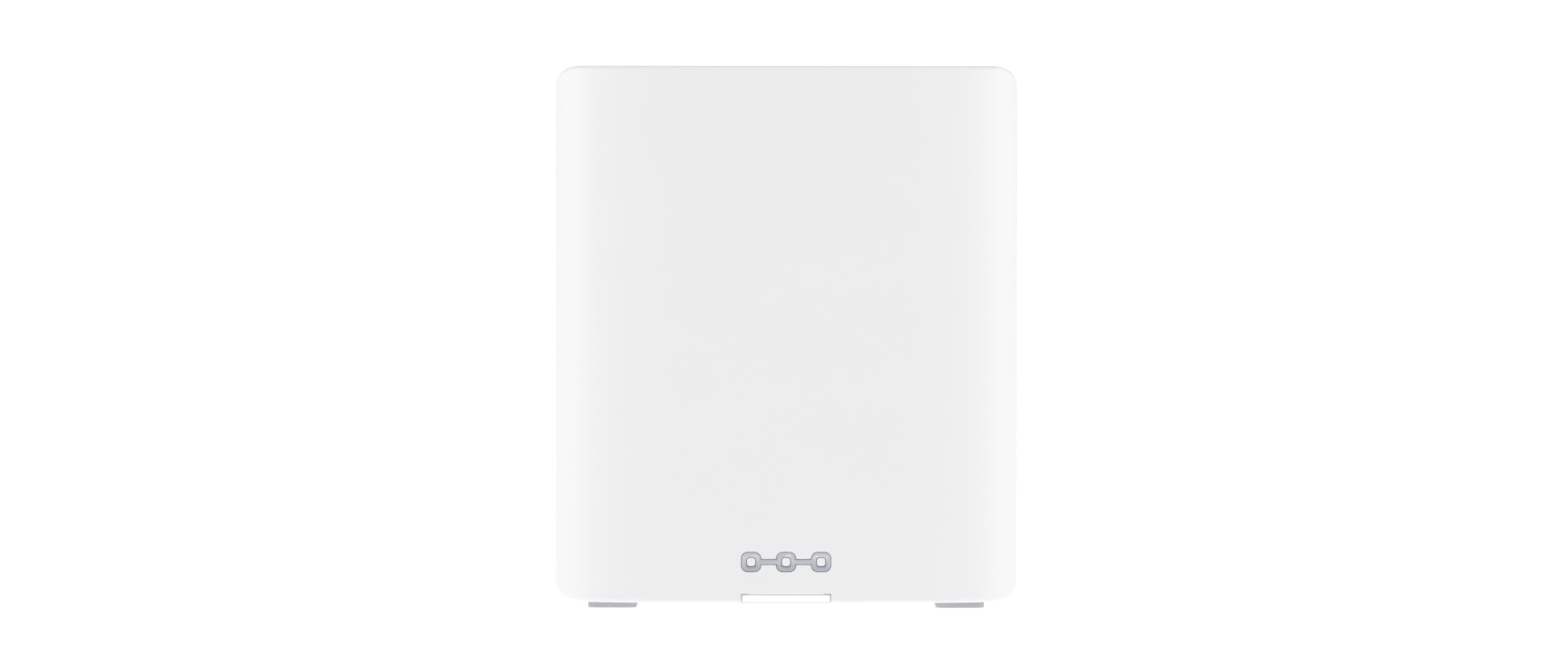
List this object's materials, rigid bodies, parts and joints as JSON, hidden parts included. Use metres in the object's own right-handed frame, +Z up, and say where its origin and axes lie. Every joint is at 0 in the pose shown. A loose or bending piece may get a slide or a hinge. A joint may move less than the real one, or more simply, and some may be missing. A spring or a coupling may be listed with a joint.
{
  "type": "wireless router",
  "caption": "Upright slab-shaped wireless router with a rounded white housing, a light window at the front's lower edge, rear vents and port bay, on rubber feet.",
  "frame": {"origin": "on the surface it stands on, under the middle of the body (bottom centre of the overall box)", "axes": "+Z up, the front faces -Y, +X to the right as seen from the front"},
  "size_m": [0.16, 0.075, 0.187],
  "materials": {
    "white_shell": "fine matte texture, moulded ABS and polycarbonate",
    "light_window": "milky light guide, lit white",
    "satin_silver": "satin plated emblem",
    "grey_rubber": "soft grey silicone rubber",
    "label": "blank printed-stock label",
    "grey_panel": "fine matte moulded panel",
    "black_plastic": "moulded socket plastic",
    "blue_plastic": "socket tongue",
    "gold": "gold-plated contacts",
    "steel": "nickel-plated steel",
    "aluminium": "extruded heatsink, natural",
    "circuit_board": "green solder mask on glass-epoxy",
    "chip": "moulded chip package",
    "thermal_pad": "soft silicone pad",
    "inner_plastic": "moulded frame",
    "led_lens": "clear lens over phosphor",
    "ribbon": "white flat cable",
    "lead_jacket": "thin coaxial lead jacket"
  },
  "bodies": {
    "housing": {"front_housing": "white_shell", "rear_housing": "white_shell", "base_plate": "white_shell", "light_window": "light_window", "emblem": "satin_silver", "foot_left": "grey_rubber", "foot_right": "grey_rubber", "rating_label": "label", "port_panel": "grey_panel", "wan_jack": "black_plastic", "lan_jack_1": "black_plastic", "lan_jack_2": "black_plastic", "wan_contacts": "gold", "lan_contacts_1": "gold", "lan_contacts_2": "gold", "usb_shell": "steel", "usb_tongue": "blue_plastic", "inlet_body": "black_plastic", "inlet_pin": "steel", "power_switch_case": "black_plastic", "setup_switch": "black_plastic", "reset_switch": "black_plastic", "inner_frame": "inner_plastic", "main_board": "circuit_board", "light_board": "circuit_board", "processor": "chip", "memory_chip_1": "chip", "memory_chip_2": "chip", "radio_chip_1": "chip", "radio_chip_2": "chip", "radio_chip_3": "chip", "shield_can_1": "steel", "shield_can_2": "steel", "shield_can_3": "steel", "thermal_pad_front": "thermal_pad", "thermal_pad_rear": "thermal_pad", "heatsink_front": "aluminium", "heatsink_rear": "aluminium", "led_1": "led_lens", "led_2": "led_lens", "led_3": "led_lens", "light_ribbon": "ribbon", "antenna_1": "circuit_board", "antenna_lead_1": "lead_jacket", "board_screw_1": "steel", "antenna_2": "circuit_board", "antenna_lead_2": "lead_jacket", "board_screw_2": "steel", "antenna_3": "circuit_board", "antenna_lead_3": "lead_jacket", "board_screw_3": "steel", "antenna_4": "circuit_board", "antenna_lead_4": "lead_jacket", "board_screw_4": "steel", "base_screw_left": "steel", "base_screw_right": "steel"},
    "power_rocker": {"power_rocker": "black_plastic"},
    "setup_button": {"setup_button": "grey_panel"},
    "reset_button": {"reset_button": "grey_panel"}
  },
  "joints": [
    {"name": "power_rock", "type": "hinge", "parent": "housing", "child": "power_rocker", "pos_m": [-0.03005, 0.024, 0.023], "axis": [1, 0, 0], "range_deg": [0, 16]},
    {"name": "setup_press", "type": "slide", "parent": "housing", "child": "setup_button", "axis": [0, -1, 0], "range_m": [0, 0.0008], "stiffness_N_per_m": 500, "springref_m": -0.0005},
    {"name": "reset_press", "type": "slide", "parent": "housing", "child": "reset_button", "axis": [0, -1, 0], "range_m": [0, 0.0005], "stiffness_N_per_m": 500, "springref_m": -0.0005}
  ]
}
